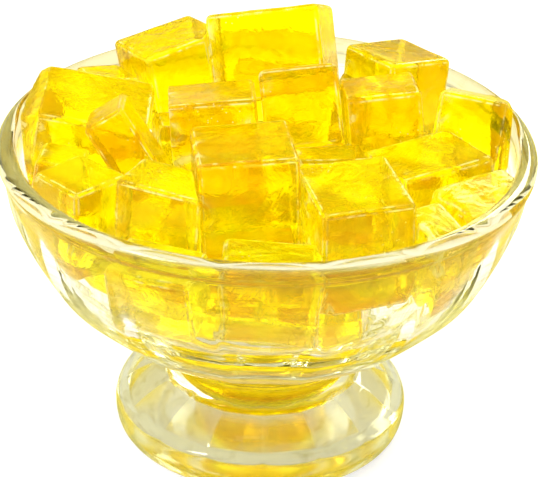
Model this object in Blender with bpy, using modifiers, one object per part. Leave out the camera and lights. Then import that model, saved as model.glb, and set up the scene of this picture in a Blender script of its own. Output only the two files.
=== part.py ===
"""Yellow jelly cut in cubes, heaped in a footed pressed-glass dessert bowl.

Units are metres, +Z is up and the origin is the middle of the foot's underside.
The bowl is one turned piece of glass with a hollow stem. Every cube of jelly is a piece
of its own, pressed flat where it meets a neighbour or the inside of the bowl, and one
round piece of jelly fills the stem.
"""

import math

import bmesh
import bpy
from mathutils import Euler, Matrix, Vector

MM = 0.001

# Driving sizes of the bowl, in millimetres.
BOWL_HEIGHT = 76.0
RIM_RADIUS = 62.5
WALL_TOP_RADIUS = 61.0
WALL_TOP_HEIGHT = 70.5
WALL_THICKNESS = 3.6
BEAD_RADIUS = 2.4
NECK_TOP_RADIUS = 26.0
NECK_TOP_HEIGHT = 24.6
MOUTH_RADIUS = 20.5
MOUTH_HEIGHT = 32.2
STEM_WELL_RADIUS = 15.2
STEM_WELL_MIDDLE = 19.0
STEM_WELL_FLOOR = 7.4
COLLAR_RADIUS = 24.0
COLLAR_HEIGHT = 15.0
FOOT_SHOULDER_RADIUS = 33.3
FOOT_SHOULDER_HEIGHT = 9.4
FOOT_RADIUS = 35.5
FOOT_EDGE_HEIGHT = 4.6
STANDING_RING_OUTER = 33.0
STANDING_RING_INNER = 29.0
FOOT_RECESS_DEPTH = 3.6

# Turned curves of the bowl as Bezier handles (radius, height), between the sizes above.
STEM_FLOOR_HANDLES = ((11.0, STEM_WELL_FLOOR), (15.0, STEM_WELL_FLOOR))
STEM_MOUTH_HANDLES = ((15.3, 26.0), (16.4, 31.4))
WELL_HANDLES = ((44.7, 36.7), (56.7, 50.1))
WALL_HANDLES = ((59.8, 45.0), (40.0, 31.5))
NECK_HANDLES = ((21.3, 22.6), (21.2, 17.2))
SLOPE_HANDLES = ((27.5, 13.8), (31.0, 11.6))
LIP_HANDLES = ((34.9, 9.0), (35.7, 7.0))
EDGE_HANDLES = ((35.3, 2.0), (34.8, 0.0))
RECESS_HANDLES = ((27.5, 2.6), (16.0, FOOT_RECESS_DEPTH))
BEAD_START_ANGLE = -50.0
BEAD_END_ANGLE = 180.0

TURN_STEPS = 64
STEM_FLOOR_STEPS = 5
STEM_MOUTH_STEPS = 4
WELL_STEPS = 8
BEAD_STEPS = 8
WALL_STEPS = 11
NECK_STEPS = 6
SLOPE_STEPS = 4
LIP_STEPS = 3
EDGE_STEPS = 3
RECESS_STEPS = 4

# Soft flat panels pressed into the outside of the glass. On the wall a panel faces the
# front, on the foot an edge between two panels does. Depth 1 is flat, depth 0 is round.
PANELS = 16
WALL_PANEL_DEPTH = 0.7
WALL_PANEL_FADE = 7.0
FOOT_PANEL_DEPTH = 0.8
FOOT_PANEL_FADE = 1.5
FRONT_ANGLE = math.radians(-90.0)
BOWL_TURN = math.radians(2.0)
PRESSED_EDGE_ANGLE = math.radians(30.0)

# Jelly: how high it stands in the stem, cut edges, the gap left between pressed faces,
# and the clearance to the glass.
STEM_JELLY_TOP = 30.4
CUT_EDGE = 0.8
CONTACT_GAP = 0.3
GLASS_CLEARANCE = 0.45
GLASS_CUT_DEPTH = 0.45
MERGE_DISTANCE = 0.12
FLAT_ANGLE = math.radians(1.0)

# The inside of the bowl as the cubes meet it: its curve in short steps, carried on
# upwards past the rim so that a cube which rises above the glass stays within it.
WELL_FIT_STEPS = 40
WELL_FIT_LEAN = 1.6
WELL_FIT_RISE = 26.0
FIT_TOLERANCE = 0.01

# One row for each cube: place in the heap, centre, size across, deep and high,
# and its tilt in degrees (pitch about X, roll about Y, yaw about Z), all in millimetres.
# A cube keeps its whole shape against the cubes of the rows below it.
CUBES = (
    ("front_middle", (-4.5, -20.0, 72.0), (22.5, 22.0, 24.0), (-2, -3, 8)),
    ("front_right", (20.0, -26.5, 65.5), (21.5, 23.5, 25.0), (2, -2, 16)),
    ("crown", (0.8, 35.0, 80.8), (28.0, 20.0, 22.0), (-24, -12, -8)),
    ("back_left", (-22.8, 34.8, 74.4), (22.0, 19.5, 21.5), (-8, -8, 32)),
    ("left_high", (-42.0, 12.0, 67.9), (26.5, 22.0, 23.5), (9, 9, 0)),
    ("left_tilted", (-31.5, -6.0, 75.0), (10.5, 15.0, 21.0), (-10, -33, 6)),
    ("centre_left", (-14.0, -0.5, 74.5), (24.0, 19.0, 23.0), (-10, -5, 4)),
    ("centre_tilted", (8.0, 10.5, 77.0), (18.5, 15.0, 19.5), (-38, -8, 2)),
    ("back_right", (30.2, 32.2, 72.5), (18.5, 19.0, 22.0), (-4, 8, 36)),
    ("right_rim", (48.3, 14.5, 71.3), (16.8, 14.0, 18.4), (-20, 4, -14)),
    ("right_high", (37.3, -7.2, 65.0), (24.0, 20.0, 22.0), (-4, -3, 28)),
    ("front_left", (-21.0, -28.0, 69.0), (21.0, 14.0, 19.0), (-2, 2, -22)),
    ("left_corner", (-41.5, -18.0, 63.0), (15.5, 15.5, 22.0), (0, 0, 45)),
    ("centre_right", (26.5, 11.5, 73.0), (19.0, 16.0, 22.0), (-6, -6, 6)),
    ("centre_low", (14.0, -4.5, 66.0), (20.0, 14.0, 18.0), (-4, 2, 10)),
    ("right_low", (48.2, -18.2, 64.2), (21.0, 14.0, 18.4), (12, 0, 38)),
    ("right_wedge", (37.0, -33.0, 63.5), (11.0, 16.0, 18.0), (10, 0, 30)),
    ("glass_middle", (2.0, -42.0, 59.0), (22.5, 14.0, 18.0), (0, 2, -2)),
    ("glass_left", (-21.0, -39.0, 58.5), (19.5, 14.0, 17.0), (12, -2, -22)),
    ("left_edge", (-48.0, -3.0, 62.0), (11.0, 15.0, 20.0), (0, 8, -6)),
    ("back_low", (3.0, 46.0, 61.0), (22.0, 16.0, 20.0), (0, 0, -4)),
    ("core_middle", (-17.5, 16.5, 64.0), (20.0, 15.0, 17.0), (-3, 4, 12)),
    ("core_back", (1.0, 30.0, 52.0), (22.0, 20.0, 20.0), (8, 3, 3)),
    ("core_back_left", (-25.0, 23.0, 51.0), (20.0, 20.0, 20.0), (10, 0, 45)),
    ("core_back_right", (26.0, 24.0, 50.0), (20.0, 20.0, 19.0), (10, 0, -42)),
    ("core_left", (-33.0, -3.0, 51.0), (18.0, 20.0, 20.0), (0, 12, -4)),
    ("core_right", (34.0, 2.0, 48.0), (18.0, 21.0, 20.0), (0, -12, 4)),
    ("well_front_left", (-11.5, -13.0, 44.5), (21.0, 21.0, 21.0), (-9, 8, 6)),
    ("well_front_right", (12.0, -14.0, 43.0), (21.0, 21.0, 21.0), (-8, -9, -4)),
    ("well_back_left", (-12.0, 10.0, 45.0), (21.0, 21.0, 21.0), (8, 9, -7)),
    ("well_back_right", (12.0, 9.0, 45.0), (21.0, 21.0, 21.0), (9, -7, 5)),
    ("back_middle", (19.0, 26.5, 70.5), (10.0, 12.0, 15.0), (-6, 4, -10)),
    ("left_back", (-38.5, 30.0, 69.0), (15.0, 12.0, 16.0), (-4, 4, 20)),
)

GLASS_COLOUR = (0.93, 0.94, 0.86, 1.0)
GLASS_ROUGHNESS = 0.02
GLASS_TRANSMISSION = 1.0
GLASS_IOR = 1.5
JELLY_COLOUR = (1.0, 0.78, 0.0, 1.0)
JELLY_ROUGHNESS = 0.08
JELLY_TRANSMISSION = 0.9
JELLY_IOR = 1.35


def clear_scene():
    for thing in list(bpy.context.scene.objects):
        bpy.data.objects.remove(thing, do_unlink=True)


def new_collection(name):
    collection = bpy.data.collections.new(name)
    bpy.context.scene.collection.children.link(collection)
    return collection


def make_material(name, colour, roughness, transmission, ior):
    material = bpy.data.materials.new(name)
    material.use_nodes = True
    shader = material.node_tree.nodes["Principled BSDF"]
    shader.inputs["Base Color"].default_value = colour
    shader.inputs["Roughness"].default_value = roughness
    shader.inputs["Metallic"].default_value = 0.0
    shader.inputs["Transmission Weight"].default_value = transmission
    shader.inputs["IOR"].default_value = ior
    return material


def bezier(start, handles, end, steps):
    """Points after the start of a cubic curve through (radius, height) pairs."""
    points = []
    for step in range(1, steps + 1):
        t = step / steps
        s = 1.0 - t
        weights = (s * s * s, 3.0 * s * s * t, 3.0 * s * t * t, t * t * t)
        corners = (start, handles[0], handles[1], end)
        radius = sum(w * c[0] for w, c in zip(weights, corners))
        height = sum(w * c[1] for w, c in zip(weights, corners))
        points.append((radius, height))
    return points


def smooth_ramp(value, start, end):
    t = min(max((value - start) / (end - start), 0.0), 1.0)
    return t * t * (3.0 - 2.0 * t)


def stem_curve():
    """The inside of the hollow stem, from the middle of its floor up to its mouth."""
    floor_centre = (0.0, STEM_WELL_FLOOR)
    waist = (STEM_WELL_RADIUS, STEM_WELL_MIDDLE)
    mouth = (MOUTH_RADIUS, MOUTH_HEIGHT)
    points = [floor_centre]
    points += bezier(floor_centre, STEM_FLOOR_HANDLES, waist, STEM_FLOOR_STEPS)
    points += bezier(waist, STEM_MOUTH_HANDLES, mouth, STEM_MOUTH_STEPS)
    return points


def well_curve(steps):
    """The inside of the bowl, from the mouth of the stem up to the bead."""
    top = (WALL_TOP_RADIUS - WALL_THICKNESS, WALL_TOP_HEIGHT)
    return bezier((MOUTH_RADIUS, MOUTH_HEIGHT), WELL_HANDLES, top, steps)


def bead_curve():
    """The rounded bead of the rim, from its inner side over the top to the outer side."""
    centre_radius = RIM_RADIUS - BEAD_RADIUS
    centre_height = BOWL_HEIGHT - BEAD_RADIUS
    points = []
    for step in range(BEAD_STEPS + 1):
        angle = BEAD_END_ANGLE + (BEAD_START_ANGLE - BEAD_END_ANGLE) * step / BEAD_STEPS
        turn = math.radians(angle)
        points.append((centre_radius + BEAD_RADIUS * math.cos(turn),
                       centre_height + BEAD_RADIUS * math.sin(turn)))
    return points


def bowl_profile():
    """The whole section of the glass, up its inside, over the rim and down the outside."""
    wall_top = (WALL_TOP_RADIUS, WALL_TOP_HEIGHT)
    neck_top = (NECK_TOP_RADIUS, NECK_TOP_HEIGHT)
    collar = (COLLAR_RADIUS, COLLAR_HEIGHT)
    shoulder = (FOOT_SHOULDER_RADIUS, FOOT_SHOULDER_HEIGHT)
    foot_edge = (FOOT_RADIUS, FOOT_EDGE_HEIGHT)
    ring_outer = (STANDING_RING_OUTER, 0.0)
    ring_inner = (STANDING_RING_INNER, 0.0)
    points = stem_curve()
    points += well_curve(WELL_STEPS)
    points += bead_curve()
    points += [wall_top]
    points += bezier(wall_top, WALL_HANDLES, neck_top, WALL_STEPS)
    points += bezier(neck_top, NECK_HANDLES, collar, NECK_STEPS)
    points += bezier(collar, SLOPE_HANDLES, shoulder, SLOPE_STEPS)
    points += bezier(shoulder, LIP_HANDLES, foot_edge, LIP_STEPS)
    points += bezier(foot_edge, EDGE_HANDLES, ring_outer, EDGE_STEPS)
    points += [ring_inner]
    points += bezier(ring_inner, RECESS_HANDLES, (0.0, FOOT_RECESS_DEPTH), RECESS_STEPS)
    return points


def panel_scale(angle, panel_centre, depth):
    """How far flat panels pull a round wall in at this angle, as a share of its radius."""
    half = math.pi / PANELS
    offset = (angle - panel_centre + half) % (2.0 * half) - half
    return 1.0 - depth * (1.0 - math.cos(half) / math.cos(offset))


def press_panels(mesh):
    """Press the flat panels into the outer wall and the foot's sloping top."""
    inside = stem_curve() + well_curve(WELL_STEPS)
    inside_points = {(round(radius, 2), round(height, 2)) for radius, height in inside}
    bm = bmesh.new()
    bm.from_mesh(mesh)
    for vert in bm.verts:
        radius = math.hypot(vert.co.x, vert.co.y) / MM
        height = vert.co.z / MM
        if (round(radius, 2), round(height, 2)) in inside_points:
            continue
        angle = math.atan2(vert.co.y, vert.co.x)
        on_wall = (smooth_ramp(height, NECK_TOP_HEIGHT, NECK_TOP_HEIGHT + WALL_PANEL_FADE)
                   * smooth_ramp(WALL_TOP_HEIGHT - height, 0.0, WALL_PANEL_FADE))
        on_foot = (smooth_ramp(height, FOOT_SHOULDER_HEIGHT - FOOT_PANEL_FADE, FOOT_SHOULDER_HEIGHT)
                   * smooth_ramp(COLLAR_HEIGHT + FOOT_PANEL_FADE - height, 0.0, FOOT_PANEL_FADE))
        scale = (panel_scale(angle, FRONT_ANGLE, WALL_PANEL_DEPTH * on_wall)
                 * panel_scale(angle, FRONT_ANGLE + math.pi / PANELS, FOOT_PANEL_DEPTH * on_foot))
        vert.co.x *= scale
        vert.co.y *= scale
    bm.to_mesh(mesh)
    bm.free()


def turned_profile(name, points, collection):
    """A thin line of the section, turned round the Z axis by a Screw modifier."""
    mesh = bpy.data.meshes.new(name)
    verts = [(radius * MM, 0.0, height * MM) for radius, height in points]
    edges = [(index, index + 1) for index in range(len(points) - 1)]
    mesh.from_pydata(verts, edges, [])
    section = bpy.data.objects.new(name, mesh)
    collection.objects.link(section)
    screw = section.modifiers.new("turn", "SCREW")
    screw.axis = "Z"
    screw.angle = 2.0 * math.pi
    screw.steps = TURN_STEPS
    screw.render_steps = TURN_STEPS
    screw.use_merge_vertices = True
    screw.merge_threshold = 0.00001
    screw.use_smooth_shade = True
    return section


def turned_mesh(name, points, collection):
    """The mesh of a turned section, with the line it was turned from taken away."""
    section = turned_profile(name + "_section", points, collection)
    bpy.context.view_layer.update()
    evaluated = section.evaluated_get(bpy.context.evaluated_depsgraph_get())
    mesh = bpy.data.meshes.new_from_object(evaluated)
    mesh.name = name
    bpy.data.objects.remove(section, do_unlink=True)
    return mesh


def make_bowl(collection, material):
    mesh = turned_mesh("bowl", bowl_profile(), collection)
    press_panels(mesh)
    mesh.materials.clear()
    mesh.materials.append(material)
    mesh.shade_smooth()
    mesh.set_sharp_from_angle(angle=PRESSED_EDGE_ANGLE)
    bowl = bpy.data.objects.new("bowl", mesh)
    bowl.rotation_euler.z = BOWL_TURN
    collection.objects.link(bowl)
    return bowl


def make_stem_jelly(collection, material):
    """The round piece of jelly in the hollow stem, just clear of the glass."""
    inside = stem_curve()
    outer = []
    for before, here, after in zip(inside, inside[1:], inside[2:]):
        along = Vector((after[0] - before[0], after[1] - before[1])).normalized()
        radius = here[0] - along.y * GLASS_CLEARANCE
        height = here[1] + along.x * GLASS_CLEARANCE
        if height < STEM_JELLY_TOP - GLASS_CLEARANCE:
            outer.append((radius, height))
    rise = (STEM_JELLY_TOP - outer[-1][1]) / (outer[-1][1] - outer[-2][1])
    top_radius = outer[-1][0] + (outer[-1][0] - outer[-2][0]) * rise
    points = [(0.0, STEM_JELLY_TOP), (top_radius, STEM_JELLY_TOP)]
    points += reversed(outer)
    points += [(0.0, STEM_WELL_FLOOR + GLASS_CLEARANCE)]
    mesh = turned_mesh("jelly_stem", points, collection)
    mesh.materials.clear()
    mesh.materials.append(material)
    mesh.shade_smooth()
    mesh.set_sharp_from_angle(angle=PRESSED_EDGE_ANGLE)
    collection.objects.link(bpy.data.objects.new("jelly_stem", mesh))


def place_in_heap(centre, tilt):
    turn = Euler([math.radians(angle) for angle in tilt], "XYZ").to_matrix().to_4x4()
    return Matrix.Translation(Vector(centre) * MM) @ turn


def cut_cube(size, placing):
    """A block of jelly with its cut edges broken, at its place in the heap."""
    bm = bmesh.new()
    bmesh.ops.create_cube(bm, size=1.0)
    bmesh.ops.scale(bm, verts=bm.verts, vec=Vector(size) * MM)
    bmesh.ops.bevel(bm, geom=bm.edges[:], offset=CUT_EDGE * MM, offset_type="OFFSET",
                    segments=1, profile=0.5, affect="EDGES", clamp_overlap=True, material=-1)
    bmesh.ops.transform(bm, verts=bm.verts, matrix=placing)
    return bm


def slice_off(bm, point, normal):
    """Take away what lies beyond a plane, and close the flat face that it leaves."""
    geometry = bm.verts[:] + bm.edges[:] + bm.faces[:]
    bmesh.ops.bisect_plane(bm, geom=geometry, dist=0.000001, plane_co=point, plane_no=normal,
                           clear_outer=True)
    bmesh.ops.holes_fill(bm, edges=bm.edges[:])


def face_directions(bm):
    return [face.normal.copy() for face in bm.faces]


def support(bm, direction):
    return max(direction.dot(vert.co) for vert in bm.verts)


def press_against(bm, neighbour):
    """Flatten a cube where it would enter its neighbour, along their shallowest overlap."""
    directions = face_directions(neighbour) + [-normal for normal in face_directions(bm)]
    best_depth = None
    for direction in directions:
        reach = support(neighbour, direction)
        depth = reach + support(bm, -direction) + CONTACT_GAP * MM
        if depth <= 0.0:
            return
        if best_depth is None or depth < best_depth:
            best_depth = depth
            best_plane = (direction * (reach + CONTACT_GAP * MM), -direction)
    slice_off(bm, *best_plane)


def well_stations():
    """Points over the stem's jelly and up the bowl's inside, with their outward normals."""
    points = [(0.0, STEM_JELLY_TOP), (MOUTH_RADIUS, MOUTH_HEIGHT)] + well_curve(WELL_FIT_STEPS)
    points.append((points[-1][0] + WELL_FIT_LEAN, points[-1][1] + WELL_FIT_RISE))
    stations = []
    for before, after in zip(points, points[1:]):
        along = Vector((after[0] - before[0], after[1] - before[1])).normalized()
        stations.append((before, Vector((along.y, -along.x))))
    stations.append((points[-1], stations[-1][1]))
    return stations


def fit_into_bowl(bm, stations):
    """Flatten a cube against the glass until all of it is inside the bowl."""
    while True:
        deepest = GLASS_CLEARANCE
        worst = None
        for vert in bm.verts:
            radius = math.hypot(vert.co.x, vert.co.y) / MM
            height = vert.co.z / MM
            inside = min((-(radius - place[0]) * normal.x - (height - place[1]) * normal.y, index)
                         for index, (place, normal) in enumerate(stations))
            if inside[0] < deepest - FIT_TOLERANCE and (worst is None or inside[0] < worst[0]):
                worst = (inside[0], inside[1], vert.co.copy())
        if worst is None:
            return
        place, normal = stations[worst[1]]
        turn = math.atan2(worst[2].y, worst[2].x)
        around = Vector((math.cos(turn), math.sin(turn), 0.0))
        outward = around * normal.x + Vector((0.0, 0.0, normal.y))
        point = (around * place[0] + Vector((0.0, 0.0, place[1]))) * MM
        slice_off(bm, point - outward * (GLASS_CLEARANCE + GLASS_CUT_DEPTH) * MM, outward)


def tidy_hull(bm):
    """Merge the shortest edges and close the block again as one clean convex body."""
    bmesh.ops.remove_doubles(bm, verts=bm.verts, dist=MERGE_DISTANCE * MM)
    corners = [vert.co.copy() for vert in bm.verts]
    bm.free()
    hull = bmesh.new()
    for corner in corners:
        hull.verts.new(corner)
    result = bmesh.ops.convex_hull(hull, input=hull.verts[:], use_existing_faces=False)
    spare = [item for item in result["geom_interior"] if isinstance(item, bmesh.types.BMVert)]
    bmesh.ops.delete(hull, geom=spare, context="VERTS")
    bmesh.ops.dissolve_limit(hull, angle_limit=FLAT_ANGLE, verts=hull.verts[:], edges=hull.edges[:])
    bmesh.ops.recalc_face_normals(hull, faces=hull.faces[:])
    return hull


def make_cubes(collection, material):
    stations = well_stations()
    placed = []
    for place_name, centre, size, tilt in CUBES:
        placing = place_in_heap(centre, tilt)
        bm = cut_cube(size, placing)
        fit_into_bowl(bm, stations)
        for neighbour in placed:
            press_against(bm, neighbour)
        bm = tidy_hull(bm)
        placed.append(bm)
        name = "jelly_" + place_name
        mesh = bpy.data.meshes.new(name)
        bm.to_mesh(mesh)
        mesh.transform(placing.inverted())
        mesh.materials.append(material)
        cube = bpy.data.objects.new(name, mesh)
        cube.matrix_world = placing
        collection.objects.link(cube)
    for bm in placed:
        bm.free()


def main():
    clear_scene()
    collection = new_collection("jelly_cubes_in_footed_bowl")
    glass = make_material("glass", GLASS_COLOUR, GLASS_ROUGHNESS, GLASS_TRANSMISSION, GLASS_IOR)
    jelly = make_material("jelly", JELLY_COLOUR, JELLY_ROUGHNESS, JELLY_TRANSMISSION, JELLY_IOR)
    make_bowl(collection, glass)
    make_stem_jelly(collection, jelly)
    make_cubes(collection, jelly)


main()
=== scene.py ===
"""Yellow jelly cut in cubes, heaped in a footed bowl of clear pressed glass.

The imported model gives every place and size. The glass is turned again with finer steps,
and each cube of jelly gets soft cut edges, slightly uneven faces and a see-through body.
"""

import math

import bmesh
import bpy
import numpy as np
from mathutils import Matrix, Vector, noise


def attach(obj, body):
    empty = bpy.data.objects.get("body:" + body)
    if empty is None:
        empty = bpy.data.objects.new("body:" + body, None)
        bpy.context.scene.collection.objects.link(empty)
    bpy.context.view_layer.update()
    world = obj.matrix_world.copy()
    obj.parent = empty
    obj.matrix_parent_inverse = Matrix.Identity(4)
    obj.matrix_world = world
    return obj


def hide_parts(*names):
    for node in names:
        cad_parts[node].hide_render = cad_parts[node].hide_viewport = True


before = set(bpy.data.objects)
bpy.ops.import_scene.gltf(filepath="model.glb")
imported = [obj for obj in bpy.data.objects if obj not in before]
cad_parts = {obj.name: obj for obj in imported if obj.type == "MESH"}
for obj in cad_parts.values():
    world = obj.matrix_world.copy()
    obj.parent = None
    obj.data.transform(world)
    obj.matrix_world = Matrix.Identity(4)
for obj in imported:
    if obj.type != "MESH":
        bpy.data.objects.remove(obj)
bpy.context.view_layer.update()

MM = 0.001

# Driving sizes of the bowl, in millimetres.
BOWL_HEIGHT = 76.0
RIM_RADIUS = 62.43
WALL_TOP_RADIUS = 61.0
WALL_TOP_HEIGHT = 70.5
WALL_THICKNESS = 3.6
BEAD_RADIUS = 2.4
BEAD_START = 180.0
BEAD_SWEEP = 230.0
BEAD_STEPS = 30
NECK_TOP_RADIUS = 26.0
NECK_TOP_HEIGHT = 24.6
MOUTH_RADIUS = 20.5
MOUTH_HEIGHT = 32.2
STEM_WELL_RADIUS = 15.2
STEM_WELL_MIDDLE = 19.0
STEM_WELL_FLOOR = 7.4
STEM_JELLY_TOP = 30.4
COLLAR_RADIUS = 24.0
COLLAR_HEIGHT = 15.0
FOOT_SHOULDER_RADIUS = 33.3
FOOT_SHOULDER_HEIGHT = 9.4
FOOT_RADIUS = 35.5
FOOT_EDGE_HEIGHT = 4.6
STANDING_RING_OUTER = 33.0
STANDING_RING_INNER = 29.0
FOOT_RECESS_DEPTH = 3.6

STEM_FLOOR_HANDLES = ((11.0, STEM_WELL_FLOOR), (15.0, STEM_WELL_FLOOR))
STEM_MOUTH_HANDLES = ((15.3, 26.0), (16.4, 31.4))
WELL_HANDLES = ((44.7, 36.7), (56.7, 50.1))
# The crease under the bead is eased, so that the finer turned glass stays smooth there.
CREASE_HANDLES = ((61.2, 71.39), (61.02, 71.0))
WALL_HANDLES = ((59.8, 45.0), (40.0, 31.5))
NECK_HANDLES = ((21.3, 22.6), (21.2, 17.2))
SLOPE_HANDLES = ((27.5, 13.8), (31.0, 11.6))
LIP_HANDLES = ((34.9, 9.0), (35.7, 7.0))
EDGE_HANDLES = ((35.3, 2.0), (34.8, 0.0))
RECESS_HANDLES = ((27.5, 2.6), (16.0, FOOT_RECESS_DEPTH))

PANELS = 16
WALL_PANEL_DEPTH = 0.7
WALL_PANEL_FADE = 7.0
FOOT_PANEL_DEPTH = 0.8
FOOT_PANEL_FADE = 1.5
FRONT_ANGLE = math.radians(-90.0)
BOWL_TURN = math.radians(2.0)
TURN_STEPS = 400

# Pressed glass is never quite even: long shallow ridges run round it, and slow swells cross them.
RIDGE_DEPTH = 0.11
RIDGE_HEIGHT = 2.2
RIDGE_REPEATS = 2.2
RIDGE_LEAN = 0.4
RIDGE_SLANT = 0.25
SWELL_DEPTH = 0.16
SWELL_LENGTH = 13.0
RIM_LINE_DEPTH = 0.12
RIM_LINE_HEIGHT = 1.0
RIM_LINE_REPEATS = 1.6
RIM_ZONE = (66.0, 72.0)
RIM_CALM = 0.8
STREAK_REPEATS = 4.0
STREAK_HEIGHT = 0.9
STREAK_LEAN = 0.6
# The noise is read this far up for the inside, so that its ridges differ from the outside's.
INSIDE_SHIFT = 300.0
INSIDE_EVEN_ZONE = (31.0, 38.0)
OUTSIDE_EVEN_ZONE = (3.5, 9.0)

# Jelly: how finely a cube is cut up, how soft its edges are, and how uneven its faces.
CUBE_CUTS = 41
EDGE_SOFTNESS = 0.2
# Depths within which the cut edges and the side facing left get painted highlights.
EDGE_HIGHLIGHT_DEPTHS = (-0.38, -0.12)
LEFT_HIGHLIGHT_DEPTHS = (-4.0, -0.5)
SWELL = 0.22
FACE_WAVE = 0.40
FACE_WAVE_LENGTH = 9.0
FACE_RIPPLE = 0.05
FACE_RIPPLE_LENGTH = 2.6
WET_REACH = 0.06
DRY_DISTANCE = 0.6
WAVE_SHIFT = (37.0, 11.0, 23.0)

# A cube's points crowd towards its edges, and are halved in along their rays to its sides.
EDGE_CROWDING = 1.25
LONGEST_REACH = 1.6
HALVINGS = 22

# How alike two facets of a packed cube are to be one side, and how a side is found to lie
# on the glass: probed just below and above itself, near the glass and facing it.
SAME_WAY = 0.9995
SAME_PLANE = 0.00005
ON_SIDE = 0.00003
PROBE_STEP = 0.5
NEAR_GLASS = -2.2
FACING_GLASS = 0.8

# The top of the jelly in the stem sags a little.
STEM_TOP_STEPS = 8
STEM_TOP_SAG = 0.25

# Jelly colours: the darker and lighter streaks, the painted highlight on the cut edges and the left sides,
# and the tint of its gleams, whiter under the painted highlight.
JELLY_AMBER = (1.0, 0.74, 0.0, 1.0)
JELLY_LEMON = (1.0, 0.87, 0.0, 1.0)
DEEP_AMBER = (1.0, 0.92, 0.01, 1.0)
DEEP_LEMON = (1.0, 0.98, 0.06, 1.0)
JELLY_PAINTED_HIGHLIGHT = (1.0, 0.97, 0.55, 1.0)
JELLY_GLEAM = (1.0, 0.80, 0.05, 1.0)
EDGE_GLEAM = (1.0, 1.0, 0.9, 1.0)

# Heights over which the jelly turns from its deeper colour to its upper one, and back in the stem.
HEAP_RANGE = (50.0 * MM, 78.0 * MM)
STEM_RANGE = (36.0 * MM, 28.0 * MM)

# Glass: the tint of its wall, rim and streaks, the foot's olive, which is painted shade with yellow light
# from the jelly, and the tint of its gleams.
GLASS_WALL = (1.0, 1.0, 0.97, 1.0)
FOOT_PAINTED_SHADE = (0.84, 0.83, 0.60, 1.0)
GLASS_RIM = (0.72, 0.68, 0.42, 1.0)
GLASS_STREAK = (0.64, 0.60, 0.30, 1.0)
# On the wall the gleams are tinted dim and yellow, a painted reflection of the shaded, yellow-lit floor.
WALL_PAINTED_REFLECTION_TINT = (0.50, 0.44, 0.12, 1.0)
GLEAM_FOOT = (1.0, 1.0, 0.93, 1.0)
GLEAM_RIM = (0.80, 0.78, 0.55, 1.0)

# What each body soaks up of the light that goes through it, and how strongly.
JELLY_SOAK = (1.0, 0.985, 0.2, 1.0)
JELLY_SOAK_DENSITY = 100.0
GLASS_SOAK = (0.82, 0.79, 0.10, 1.0)
GLASS_SOAK_DENSITY = 5.0

# Brightness of the studio from straight down (0) through the horizon (0.5) to straight up (1).
SKY_BANDS = ((0.0, 1.0), (0.50, 1.0), (0.51, 0.65), (0.525, 0.65), (0.54, 1.0), (1.0, 1.0))

# Mirrored in glass and jelly, the sky looks weaker, as through a filter, and the floor shows a painted
# reflection: dark olive, painted shade with yellow light, instead of its white.
FLOOR_GREY = (0.6, 0.6, 0.6, 1.0)
FLOOR_GLOW = (1.0, 1.0, 1.0, 1.0)
FLOOR_PAINTED_REFLECTION = (0.45, 0.41, 0.10, 1.0)
MIRRORED_SKY = 0.5

# A warm card stands behind and above the bowl: the tops of the cubes mirror it.
# It fades in and out over these parts of a direction's Y (towards the back) and Z (up).
WARM_CARD = (1.0, 0.80, 0.12, 1.0)
CARD_BACK = (0.30, 0.60)
CARD_FOOT = (0.12, 0.24)
CARD_TOP = (0.86, 0.70)

LIGHT_AIM = (0.0, 0.0, 0.06)


# Camera, in degrees and millimetres.
CAMERA_LENS = 138.9
CAMERA_ELEVATION = 28.93
CAMERA_ROLL = 1.784
CAMERA_AIM = (2.09, 0.0, 48.92)
CAMERA_DISTANCE = 500.0


# ---------------------------------------------------------------- camera, floor and light

def place_camera():
    camera = bpy.data.cameras.new("camera")
    camera.lens = CAMERA_LENS
    camera.sensor_width = 36.0
    camera.clip_start = 0.01
    camera.clip_end = 50.0
    holder = bpy.data.objects.new("camera", camera)
    bpy.context.scene.collection.objects.link(holder)
    elevation = math.radians(CAMERA_ELEVATION)
    aim = Vector(CAMERA_AIM) * MM
    back = Vector((0.0, -math.cos(elevation), math.sin(elevation))) * (CAMERA_DISTANCE * MM)
    tilt = Matrix.Rotation(math.radians(90.0) - elevation, 4, "X")
    roll = Matrix.Rotation(math.radians(CAMERA_ROLL), 4, "Z")
    holder.matrix_world = Matrix.Translation(aim + back) @ tilt @ roll
    bpy.context.scene.camera = holder


def lay_floor():
    mesh = bpy.data.meshes.new("floor")
    bm = bmesh.new()
    bmesh.ops.create_grid(bm, x_segments=1, y_segments=1, size=3.0)
    bm.to_mesh(mesh)
    bm.free()
    floor = bpy.data.objects.new("floor", mesh)
    bpy.context.scene.collection.objects.link(floor)

    paper = bpy.data.materials.new("floor_paper")
    paper.use_nodes = True
    shader = paper.node_tree.nodes["Principled BSDF"]
    shader.inputs["Roughness"].default_value = 0.9
    shader.inputs["Specular IOR Level"].default_value = 0.1
    shader.inputs["Emission Strength"].default_value = 0.5
    mirrored = mirrored_share(paper)
    links = paper.node_tree.links
    # Seen in a mirror the floor takes a painted reflection colour: dark olive shade with yellow light.
    links.new(mix(paper, mirrored, FLOOR_GREY, FLOOR_PAINTED_REFLECTION), shader.inputs["Base Color"])
    links.new(mix(paper, mirrored, FLOOR_GLOW, FLOOR_PAINTED_REFLECTION), shader.inputs["Emission Color"])
    mesh.materials.append(paper)


def area_light(name, place, size, power):
    light = bpy.data.lights.new(name, "AREA")
    light.shape = "RECTANGLE"
    light.size = size[0]
    light.size_y = size[1]
    light.energy = power
    holder = bpy.data.objects.new(name, light)
    direction = Vector(LIGHT_AIM) - Vector(place)
    turn = direction.to_track_quat("-Z", "Y").to_matrix().to_4x4()
    holder.matrix_world = Matrix.Translation(Vector(place)) @ turn
    bpy.context.scene.collection.objects.link(holder)


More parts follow.
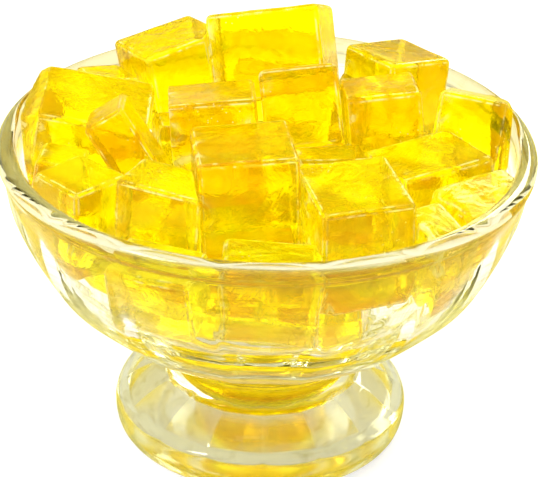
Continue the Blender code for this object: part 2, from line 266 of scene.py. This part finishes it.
def spread(nodes, given, wanted):
    """A node that turns one range of numbers into another, eased at both ends."""
    node = nodes.new("ShaderNodeMapRange")
    node.interpolation_type = "SMOOTHSTEP"
    node.inputs["From Min"].default_value = given[0]
    node.inputs["From Max"].default_value = given[1]
    node.inputs["To Min"].default_value = wanted[0]
    node.inputs["To Max"].default_value = wanted[1]
    return node


def mirrored_share(owner):
    """One for a ray that was mirrored last, and nothing for one that came through."""
    ray = owner.node_tree.nodes.new("ShaderNodeLightPath")
    glossy = ray.outputs["Is Glossy Ray"]
    share = combine(owner, "SUBTRACT", glossy, ray.outputs["Is Transmission Ray"])
    return combine(owner, "MULTIPLY", share, glossy)


def light_studio():
    scene = bpy.context.scene
    scene.view_settings.view_transform = "Standard"
    scene.view_settings.exposure = 0.2
    scene.cycles.max_bounces = 40
    scene.cycles.transmission_bounces = 40
    scene.cycles.glossy_bounces = 24
    scene.cycles.diffuse_bounces = 24
    scene.cycles.transparent_max_bounces = 16
    scene.cycles.sample_clamp_indirect = 6.0
    world = bpy.data.worlds.new("studio")
    scene.world = world
    world.use_nodes = True
    nodes = world.node_tree.nodes
    links = world.node_tree.links
    background = nodes["Background"]
    where = nodes.new("ShaderNodeTexCoord")
    split = nodes.new("ShaderNodeSeparateXYZ")
    links.new(where.outputs["Generated"], split.inputs["Vector"])
    height = nodes.new("ShaderNodeMapRange")
    height.inputs["From Min"].default_value = -1.0
    links.new(split.outputs["Z"], height.inputs["Value"])
    bands = nodes.new("ShaderNodeValToRGB")
    ramp = bands.color_ramp
    ramp.interpolation = "EASE"
    for element, (place, level) in enumerate(SKY_BANDS):
        stop = ramp.elements[element] if element < 2 else ramp.elements.new(place)
        stop.position = place
        stop.color = (level, level, level, 1.0)
    links.new(height.outputs["Result"], bands.inputs["Fac"])
    behind = spread(nodes, (-0.6, 0.3), (0.85, 1.0))
    card_back = spread(nodes, CARD_BACK, (0.0, 1.0))
    for node in (behind, card_back):
        links.new(split.outputs["Y"], node.inputs["Value"])
    card_foot = spread(nodes, CARD_FOOT, (0.0, 1.0))
    card_top = spread(nodes, CARD_TOP, (0.0, 1.0))
    for node in (card_foot, card_top):
        links.new(split.outputs["Z"], node.inputs["Value"])
    card = combine(world, "MULTIPLY", card_foot.outputs["Result"], card_top.outputs["Result"])
    card = combine(world, "MULTIPLY", card, card_back.outputs["Result"])
    links.new(mix(world, card, (1.0, 1.0, 1.0, 1.0), WARM_CARD), background.inputs["Color"])
    level = combine(world, "MULTIPLY", bands.outputs["Color"], behind.outputs["Result"])
    filtered = spread(nodes, (0.0, 1.0), (1.0, MIRRORED_SKY))
    links.new(mirrored_share(world), filtered.inputs["Value"])
    level = combine(world, "MULTIPLY", level, filtered.outputs["Result"])
    links.new(level, background.inputs["Strength"])
    area_light("key", place=(-0.5, -0.35, 0.7), size=(0.25, 0.25), power=3.0)
    area_light("back", place=(0.35, 0.6, 0.5), size=(0.4, 0.25), power=3.0)


# ---------------------------------------------------------------- materials

def new_material(name, colour, roughness, ior):
    material = bpy.data.materials.new(name)
    material.use_nodes = True
    shader = material.node_tree.nodes["Principled BSDF"]
    shader.inputs["Base Color"].default_value = colour
    shader.inputs["Roughness"].default_value = roughness
    shader.inputs["IOR"].default_value = ior
    shader.inputs["Transmission Weight"].default_value = 1.0
    return material, shader


def add_node(material, kind, **settings):
    node = material.node_tree.nodes.new(kind)
    for key, value in settings.items():
        node.inputs[key].default_value = value
    return node


def soak_through(material, colour, density):
    """The body colour: what the light loses on its way through."""
    nodes = material.node_tree.nodes
    absorption = nodes.new("ShaderNodeVolumeAbsorption")
    absorption.inputs["Color"].default_value = colour
    absorption.inputs["Density"].default_value = density
    links = material.node_tree.links
    links.new(absorption.outputs["Volume"], nodes["Material Output"].inputs["Volume"])


def mix(owner, share, first, second):
    """A colour between two, each a fixed one or another node's, by a share from a node."""
    node = owner.node_tree.nodes.new("ShaderNodeMix")
    node.data_type = "RGBA"
    owner.node_tree.links.new(share, node.inputs[0])
    for place, colour in ((6, first), (7, second)):
        if isinstance(colour, tuple):
            node.inputs[place].default_value = colour
        else:
            owner.node_tree.links.new(colour, node.inputs[place])
    return node.outputs[2]


def combine(owner, operation, first, second):
    """One number out of two that come from nodes."""
    node = owner.node_tree.nodes.new("ShaderNodeMath")
    node.operation = operation
    owner.node_tree.links.new(first, node.inputs[0])
    owner.node_tree.links.new(second, node.inputs[1])
    return node.outputs["Value"]


def jelly_material():
    """Yellow jelly: amber and lemon streaks, a few fine bubbles, and painted highlights on the cut edges and
    on the sides that face left.
    """
    material, shader = new_material("jelly", (1.0, 0.86, 0.02, 1.0), 0.09, 1.3)
    nodes = material.node_tree.nodes
    links = material.node_tree.links
    where = nodes.new("ShaderNodeTexCoord")
    swirl = add_node(material, "ShaderNodeTexNoise", Scale=130.0, Detail=5.0, Distortion=2.2)
    pits = add_node(material, "ShaderNodeTexNoise", Scale=900.0, Detail=2.0)
    patches = add_node(material, "ShaderNodeTexNoise", Scale=70.0, Detail=1.0)
    bubbles = add_node(material, "ShaderNodeTexVoronoi", Scale=900.0)
    for node in (swirl, pits, patches, bubbles):
        links.new(where.outputs["Object"], node.inputs["Vector"])

    streak = spread(nodes, (0.40, 0.62), (0.0, 1.0))
    links.new(swirl.outputs["Fac"], streak.inputs["Value"])
    upper = mix(material, streak.outputs["Result"], JELLY_AMBER, JELLY_LEMON)
    deeper = mix(material, streak.outputs["Result"], DEEP_AMBER, DEEP_LEMON)
    split = nodes.new("ShaderNodeSeparateXYZ")
    links.new(where.outputs["Object"], split.inputs["Vector"])
    high = spread(nodes, HEAP_RANGE, (0.0, 1.0))
    stem = spread(nodes, STEM_RANGE, (0.0, 1.0))
    for node in (high, stem):
        links.new(split.outputs["Z"], node.inputs["Value"])
    dense = combine(material, "MAXIMUM", high.outputs["Result"], stem.outputs["Result"])
    body = mix(material, dense, deeper, upper)

    small = spread(nodes, (0.22, 0.10), (0.0, 1.0))
    links.new(bubbles.outputs["Distance"], small.inputs["Value"])
    patch = spread(nodes, (0.56, 0.68), (0.0, 0.8))
    links.new(patches.outputs["Fac"], patch.inputs["Value"])
    speck = combine(material, "MULTIPLY", small.outputs["Result"], patch.outputs["Result"])

    # Painted highlight on the cut edges, broken up by the swirl noise.
    edge = nodes.new("ShaderNodeAttribute")
    edge.attribute_name = "edge"
    edge_highlight_breakup = spread(nodes, (0.36, 0.60), (0.0, 1.0))
    links.new(swirl.outputs["Fac"], edge_highlight_breakup.inputs["Value"])
    # Painted highlight in streaks on the side facing left, where the light falls.
    left_highlight = nodes.new("ShaderNodeAttribute")
    left_highlight.attribute_name = "left_highlight"
    left_highlight_streaks = spread(nodes, (0.50, 0.66), (0.0, 0.8))
    links.new(swirl.outputs["Fac"], left_highlight_streaks.inputs["Value"])
    edge_highlight_share = combine(material, "MULTIPLY", edge.outputs["Fac"], edge_highlight_breakup.outputs["Result"])
    sides = combine(material, "MULTIPLY", left_highlight.outputs["Fac"], left_highlight_streaks.outputs["Result"])
    painted_highlight = combine(material, "MAXIMUM", edge_highlight_share, sides)
    share = combine(material, "MAXIMUM", painted_highlight, speck)
    # The painted highlights and the bubbles make the colour pale, the gleam whiter and the body less clear.
    links.new(mix(material, share, body, JELLY_PAINTED_HIGHLIGHT), shader.inputs["Base Color"])
    links.new(mix(material, share, JELLY_GLEAM, EDGE_GLEAM), shader.inputs["Specular Tint"])
    dull = spread(nodes, (0.0, 1.0), (0.09, 0.16))
    links.new(share, dull.inputs["Value"])
    links.new(dull.outputs["Result"], shader.inputs["Roughness"])
    milky = spread(nodes, HEAP_RANGE, (0.0, 0.32))
    links.new(split.outputs["Z"], milky.inputs["Value"])
    clear = spread(nodes, (0.0, 1.0), (1.0, 0.48))
    cloudy = combine(material, "MAXIMUM", share, milky.outputs["Result"])
    links.new(cloudy, clear.inputs["Value"])
    links.new(clear.outputs["Result"], shader.inputs["Transmission Weight"])

    broad = add_node(material, "ShaderNodeBump", Strength=0.5, Distance=0.0006)
    fine = add_node(material, "ShaderNodeBump", Strength=0.25, Distance=0.0001)
    links.new(swirl.outputs["Fac"], broad.inputs["Height"])
    links.new(pits.outputs["Fac"], fine.inputs["Height"])
    links.new(broad.outputs["Normal"], fine.inputs["Normal"])
    links.new(fine.outputs["Normal"], shader.inputs["Normal"])
    soak_through(material, JELLY_SOAK, JELLY_SOAK_DENSITY)
    return material


def glass_material():
    """Clear pressed glass: olive in the thick rim, a painted olive shade with yellow light in the foot, and
    fine streaks running round.
    """
    material, shader = new_material("glass", (1.0, 1.0, 1.0, 1.0), 0.0, 1.5)
    nodes = material.node_tree.nodes
    links = material.node_tree.links
    where = nodes.new("ShaderNodeTexCoord")
    split = nodes.new("ShaderNodeSeparateXYZ")
    links.new(where.outputs["Object"], split.inputs["Vector"])
    under = spread(nodes, (3.9 * MM, 3.2 * MM), (0.0, 0.12))
    foot = spread(nodes, (24.0 * MM, 11.0 * MM), (0.0, 1.0))
    rim = spread(nodes, (67.0 * MM, 71.5 * MM), (0.0, 1.0))
    for node in (under, foot, rim):
        links.new(split.outputs["Z"], node.inputs["Value"])
    links.new(under.outputs["Result"], shader.inputs["Roughness"])

    run = nodes.new("ShaderNodeAttribute")
    run.attribute_name = "run"
    lines = add_node(material, "ShaderNodeTexNoise", Scale=1.0, Detail=3.0, Distortion=0.6)
    links.new(run.outputs["Vector"], lines.inputs["Vector"])
    streak = spread(nodes, (0.54, 0.68), (0.0, 0.85))
    links.new(lines.outputs["Fac"], streak.inputs["Value"])

    # The foot's olive is painted shade with yellow light from the jelly.
    body = mix(material, foot.outputs["Result"], GLASS_WALL, FOOT_PAINTED_SHADE)
    body = mix(material, rim.outputs["Result"], body, GLASS_RIM)
    body = mix(material, streak.outputs["Result"], body, GLASS_STREAK)
    links.new(body, shader.inputs["Base Color"])
    # The wall's gleam tint is a painted reflection, dim and yellow.
    gleam = mix(material, foot.outputs["Result"], WALL_PAINTED_REFLECTION_TINT, GLEAM_FOOT)
    gleam = mix(material, rim.outputs["Result"], gleam, GLEAM_RIM)
    links.new(gleam, shader.inputs["Specular Tint"])
    soak_through(material, GLASS_SOAK, GLASS_SOAK_DENSITY)
    return material


# ---------------------------------------------------------------- the glass

def bezier(start, handles, end, steps):
    """Points along a curve, without its start."""
    points = []
    for step in range(1, steps + 1):
        t = step / steps
        s = 1.0 - t
        weights = (s * s * s, 3.0 * s * s * t, 3.0 * s * t * t, t * t * t)
        corners = (start, handles[0], handles[1], end)
        points.append((sum(w * c[0] for w, c in zip(weights, corners)),
                       sum(w * c[1] for w, c in zip(weights, corners))))
    return points


def smooth_ramp(value, start, end):
    """Nothing before the start, one after the end, and eased in between."""
    t = min(max((value - start) / (end - start), 0.0), 1.0)
    return t * t * (3.0 - 2.0 * t)


def inside_section():
    """The inside of the glass, from the stem's floor up to the bead of the rim."""
    floor_centre = (0.0, STEM_WELL_FLOOR)
    waist = (STEM_WELL_RADIUS, STEM_WELL_MIDDLE)
    mouth = (MOUTH_RADIUS, MOUTH_HEIGHT)
    top = (WALL_TOP_RADIUS - WALL_THICKNESS, WALL_TOP_HEIGHT)
    points = [floor_centre]
    points += bezier(floor_centre, STEM_FLOOR_HANDLES, waist, steps=16)
    points += bezier(waist, STEM_MOUTH_HANDLES, mouth, steps=14)
    points += bezier(mouth, WELL_HANDLES, top, steps=46)
    return points


def outside_section():
    """The bead of the rim, the wall, the neck, the foot and the recess under it."""
    wall_top = (WALL_TOP_RADIUS, WALL_TOP_HEIGHT)
    neck_top = (NECK_TOP_RADIUS, NECK_TOP_HEIGHT)
    collar = (COLLAR_RADIUS, COLLAR_HEIGHT)
    shoulder = (FOOT_SHOULDER_RADIUS, FOOT_SHOULDER_HEIGHT)
    foot_edge = (FOOT_RADIUS, FOOT_EDGE_HEIGHT)
    points = []
    for step in range(BEAD_STEPS + 1):
        turn = math.radians(BEAD_START - BEAD_SWEEP * step / BEAD_STEPS)
        points.append((RIM_RADIUS - BEAD_RADIUS + BEAD_RADIUS * math.cos(turn),
                       BOWL_HEIGHT - BEAD_RADIUS + BEAD_RADIUS * math.sin(turn)))
    points += bezier(points[-1], CREASE_HANDLES, wall_top, steps=9)
    points += bezier(wall_top, WALL_HANDLES, neck_top, steps=62)
    points += bezier(neck_top, NECK_HANDLES, collar, steps=16)
    points += bezier(collar, SLOPE_HANDLES, shoulder, steps=14)
    points += bezier(shoulder, LIP_HANDLES, foot_edge, steps=8)
    points += bezier(foot_edge, EDGE_HANDLES, (STANDING_RING_OUTER, 0.0), steps=6)
    points += [(STANDING_RING_INNER, 0.0)]
    points += bezier((STANDING_RING_INNER, 0.0), RECESS_HANDLES, (0.0, FOOT_RECESS_DEPTH), steps=10)
    return points


def panel_scale(angle, panel_centre, depth):
    """How much a pressed panel draws the round glass in at an angle."""
    half = math.pi / PANELS
    offset = (angle - panel_centre + half) % (2.0 * half) - half
    return 1.0 - depth * (1.0 - math.cos(half) / math.cos(offset))


def unevenness(angle, radius, height):
    """Depth of the ridges and swells at a place on the glass, never less than nothing."""
    round_place = Vector((math.cos(angle), math.sin(angle), 0.0)) * RIDGE_REPEATS
    slant = RIDGE_SLANT * math.sin(3.0 * angle)
    up = (height + radius * RIDGE_LEAN) / RIDGE_HEIGHT + slant
    ridge = noise.noise(round_place + Vector((0.0, 0.0, up)))
    place = Vector((radius * math.cos(angle), radius * math.sin(angle), height)) / SWELL_LENGTH
    swell = noise.noise(place)
    up = (height + radius) / RIM_LINE_HEIGHT
    line = noise.noise(round_place * RIM_LINE_REPEATS + Vector((0.0, 0.0, up)))
    near_rim = smooth_ramp(height % INSIDE_SHIFT, *RIM_ZONE)
    wall = RIDGE_DEPTH * (0.5 + 0.5 * ridge) + SWELL_DEPTH * (0.5 + 0.5 * swell)
    return wall * (1.0 - RIM_CALM * near_rim) + RIM_LINE_DEPTH * (0.5 + 0.5 * line) * near_rim


def turned(points, inner_count=0):
    """A section line turned round the Z axis. Its first points are marked as inner ones."""
    bm = bmesh.new()
    inner = bm.verts.layers.int.new("inner")
    line = []
    for index, (radius, height) in enumerate(points):
        vert = bm.verts.new((radius * MM, 0.0, height * MM))
        vert[inner] = 1 if index < inner_count else 0
        line.append(vert)
    for before, after in zip(line, line[1:]):
        bm.edges.new((before, after))
    bmesh.ops.spin(bm, geom=bm.verts[:] + bm.edges[:], cent=(0, 0, 0), axis=(0, 0, 1),
                   angle=2.0 * math.pi, steps=TURN_STEPS, use_merge=True)
    bmesh.ops.remove_doubles(bm, verts=bm.verts, dist=0.000002)
    return bm


def show(bm, name, material, replaced):
    """Close off a finished piece: faces outwards, smooth, riding with the object."""
    bm.normal_update()
    bmesh.ops.recalc_face_normals(bm, faces=bm.faces)
    mesh = bpy.data.meshes.new(name)
    bm.to_mesh(mesh)
    bm.free()
    mesh.materials.append(material)
    mesh.shade_smooth()
    piece = bpy.data.objects.new(name, mesh)
    bpy.context.scene.collection.objects.link(piece)
    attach(piece, "root")
    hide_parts(replaced)
    return piece


def turn_bowl(material):
    """The whole glass: turned, pressed in panels, and uneven as pressed glass is."""
    inside = inside_section()
    bm = turned(inside + outside_section(), len(inside))
    inner = bm.verts.layers.int["inner"]
    run = bm.verts.layers.float_vector.new("run")
    for vert in bm.verts:
        angle = math.atan2(vert.co.y, vert.co.x)
        height = vert.co.z / MM
        radius = math.hypot(vert.co.x, vert.co.y) / MM
        turn = Vector((math.cos(angle), math.sin(angle), 0.0)) * STREAK_REPEATS
        vert[run] = turn + Vector((0.0, 0.0, (height + STREAK_LEAN * radius) / STREAK_HEIGHT))
        if vert[inner]:
            depth = unevenness(angle, radius, height + INSIDE_SHIFT) * smooth_ramp(height, *INSIDE_EVEN_ZONE)
            vert.co.x += depth * math.cos(angle) * MM
            vert.co.y += depth * math.sin(angle) * MM
            continue
        on_wall = (smooth_ramp(height, NECK_TOP_HEIGHT, NECK_TOP_HEIGHT + WALL_PANEL_FADE)
                   * smooth_ramp(WALL_TOP_HEIGHT - height, 0.0, WALL_PANEL_FADE))
        on_foot = (smooth_ramp(height, FOOT_SHOULDER_HEIGHT - FOOT_PANEL_FADE, FOOT_SHOULDER_HEIGHT)
                   * smooth_ramp(COLLAR_HEIGHT + FOOT_PANEL_FADE - height, 0.0, FOOT_PANEL_FADE))
        scale = (panel_scale(angle, FRONT_ANGLE, WALL_PANEL_DEPTH * on_wall)
                 * panel_scale(angle, FRONT_ANGLE + math.pi / PANELS, FOOT_PANEL_DEPTH * on_foot))
        depth = unevenness(angle, radius, height) * smooth_ramp(height, *OUTSIDE_EVEN_ZONE)
        scale -= depth / max(radius, 10.0)
        vert.co.x *= scale
        vert.co.y *= scale
    bmesh.ops.rotate(bm, verts=bm.verts, cent=(0, 0, 0), matrix=Matrix.Rotation(BOWL_TURN, 3, "Z"))
    show(bm, "glass_bowl", material, "bowl")


# ---------------------------------------------------------------- the jelly

def flat_sides(node):
    """Normal, distance and area of every flat side of a packed cube, the largest first."""
    bm = bmesh.new()
    bm.from_mesh(node.data)
    bmesh.ops.remove_doubles(bm, verts=bm.verts, dist=0.000001)
    sides = []
    for face in bm.faces:
        normal = face.normal.copy()
        distance = normal.dot(face.calc_center_median())
        for side in sides:
            if side[0].dot(normal) > SAME_WAY and abs(side[1] - distance) < SAME_PLANE:
                side[2] += face.calc_area()
                break
        else:
            sides.append([normal, distance, face.calc_area()])
    corners = np.array([vert.co[:] for vert in bm.verts])
    bm.free()
    sides.sort(key=lambda side: -side[2])
    return sides, corners


def cube_axes(sides):
    """Three square axes along the largest flat sides of a cube."""
    first = sides[0][0]
    second = next(side[0] for side in sides if abs(side[0].dot(first)) < 0.1)
    second = (second - first * second.dot(first)).normalized()
    return np.array([first[:], second[:], first.cross(second)[:]])


class Inside:
    """How far a point is beyond the inside of the glass, looked up by radius and height."""

    STEP = 0.25
    WIDEST = 66.0
    LOWEST = 5.0
    HIGHEST = 100.0

    def __init__(self):
        line = np.array(inside_section() + [(WALL_TOP_RADIUS - WALL_THICKNESS + 3.0, 110.0)])
        start = line[:-1]
        along = line[1:] - start
        length = (along ** 2).sum(axis=1)
        radii = np.arange(0.0, self.WIDEST, self.STEP)
        heights = np.arange(self.LOWEST, self.HIGHEST, self.STEP)
        grid = np.stack(np.meshgrid(radii, heights, indexing="ij"), axis=-1)[..., None, :]
        share = (((grid - start) * along).sum(axis=-1) / length).clip(0.0, 1.0)
        away = grid - (start + share[..., None] * along)
        distance = np.linalg.norm(away, axis=-1)
        nearest = distance.argmin(axis=-1)[..., None]
        side = along[:, 1] * away[..., 0] - along[:, 0] * away[..., 1]
        sign = np.sign(np.take_along_axis(side, nearest, axis=-1)[..., 0])
        self.table = np.take_along_axis(distance, nearest, axis=-1)[..., 0] * sign

    def beyond(self, point):
        """Distance past the glass's inside: below nothing within the bowl's free space."""
        column = np.hypot(point[:, 0], point[:, 1]) / self.STEP
        row = (point[:, 2] - self.LOWEST) / self.STEP
        column = column.clip(0.0, self.table.shape[0] - 1.001)
        row = row.clip(0.0, self.table.shape[1] - 1.001)
        i = column.astype(int)
        j = row.astype(int)
        u = column - i
        v = row - j
        return ((self.table[i, j] * (1 - u) + self.table[i + 1, j] * u) * (1 - v)
                + (self.table[i, j + 1] * (1 - u) + self.table[i + 1, j + 1] * u) * v)


def finish_cube(node, material, index, inside):
    """A packed cube made again with soft cut edges and uneven faces, wet against the glass."""
    sides, corners = flat_sides(node)
    axes = cube_axes(sides)
    local = (corners / MM) @ axes.T
    low = local.min(axis=0)
    high = local.max(axis=0)
    centre = ((low + high) / 2.0) @ axes
    half = (high - low) / 2.0
    free = [side for side in sides if not meets_glass(side, corners, inside)]
    normals = np.array([side[0][:] for side in free])
    distances = np.array([side[1] for side in free]) / MM + SWELL
    wet = len(free) < len(sides)

    def level(point):
        """Below nothing inside the softened cube, above it outside."""
        depth = (point @ normals.T - distances) / EDGE_SOFTNESS
        if wet:
            depth = np.hstack([depth, (inside.beyond(point)[:, None] - WET_REACH) / EDGE_SOFTNESS])
        peak = depth.max(axis=1)
        return peak + np.log(np.exp(depth - peak[:, None]).sum(axis=1))

    bm = bmesh.new()
    bmesh.ops.create_cube(bm, size=2.0)
    bmesh.ops.subdivide_edges(bm, edges=bm.edges[:], cuts=CUBE_CUTS, use_grid_fill=True)
    unit = np.array([vert.co[:] for vert in bm.verts])
    crowded = np.sin(unit * EDGE_CROWDING) / math.sin(EDGE_CROWDING)
    ray = (crowded * half) @ axes
    # Each point is drawn in along its ray until it meets the softened sides.
    inner_reach = np.zeros(len(ray))
    outer_reach = np.full(len(ray), LONGEST_REACH)
    for _ in range(HALVINGS):
        reach = (inner_reach + outer_reach) / 2.0
        outside = level(centre + ray * reach[:, None]) > 0.0
        outer_reach[outside] = reach[outside]
        inner_reach[~outside] = reach[~outside]
    point = centre + ray * inner_reach[:, None]
    for vert, place in zip(bm.verts, point):
        vert.co = Vector(place) * MM
    bm.normal_update()
    bmesh.ops.recalc_face_normals(bm, faces=bm.faces)
    bm.normal_update()
    # Painted-highlight mask: nearness to a cut edge.
    depths = np.sort(point @ normals.T - distances, axis=1)[:, -2]
    # Painted-highlight mask: depth within the side that faces left most.
    left = max((-side[0].x, -index) for index, side in enumerate(free))
    left_depth = (point @ normals.T - distances)[:, -left[1]]
    edge = bm.verts.layers.float.new("edge")
    left_highlight = bm.verts.layers.float.new("left_highlight")
    for vert, depth, side_depth in zip(bm.verts, depths, left_depth):
        vert[edge] = smooth_ramp(depth, *EDGE_HIGHLIGHT_DEPTHS)
        vert[left_highlight] = smooth_ramp(side_depth, *LEFT_HIGHLIGHT_DEPTHS)
    shift = Vector(WAVE_SHIFT) * index
    dry = np.clip(-(inside.beyond(point)) / DRY_DISTANCE, 0.0, 1.0)
    for vert, place, share in zip(bm.verts, point, dry):
        where = Vector(place) + shift
        wave = 0.5 - 0.5 * noise.noise(where / FACE_WAVE_LENGTH)
        ripple = 0.5 - 0.5 * noise.noise(where / FACE_RIPPLE_LENGTH)
        sink = (FACE_WAVE * wave + FACE_RIPPLE * ripple) * share
        vert.co -= vert.normal * sink * MM
    show(bm, "cut_" + node.name, material, node.name)


def meets_glass(side, corners, inside):
    """Whether a flat side of a cube lies against the glass."""
    normal = np.array(side[0][:])
    on_side = corners[np.abs(corners @ normal - side[1]) < ON_SIDE] / MM
    middle = on_side.mean(axis=0)
    step = normal * PROBE_STEP
    reach = inside.beyond(np.array([middle - step, middle, middle + step]))
    return reach[1] > NEAR_GLASS and reach[2] - reach[0] > FACING_GLASS


def fill_stem(material):
    """The jelly in the hollow stem: it wets the glass, and its top is a little hollow."""
    outer = []
    inside = inside_section()
    for before, here, after in zip(inside, inside[1:], inside[2:]):
        along = Vector((after[0] - before[0], after[1] - before[1])).normalized()
        if here[1] < STEM_JELLY_TOP:
            outer.append((here[0] + along.y * WET_REACH, here[1] - along.x * WET_REACH))
    reach = outer[-1][0]
    top = []
    for step in range(STEM_TOP_STEPS):
        share = step / STEM_TOP_STEPS
        top.append((reach * share, outer[-1][1] - STEM_TOP_SAG * (1.0 - share ** 2)))
    bm = turned(top + outer[::-1] + [(0.0, STEM_WELL_FLOOR - WET_REACH)])
    show(bm, "stem_filling", material, "jelly_stem")


def main():
    place_camera()
    lay_floor()
    light_studio()
    turn_bowl(glass_material())
    jelly = jelly_material()
    fill_stem(jelly)
    inside = Inside()
    names = sorted(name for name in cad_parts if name.startswith("jelly_"))
    names.remove("jelly_stem")
    for index, name in enumerate(names):
        finish_cube(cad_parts[name], jelly, index, inside)


main()
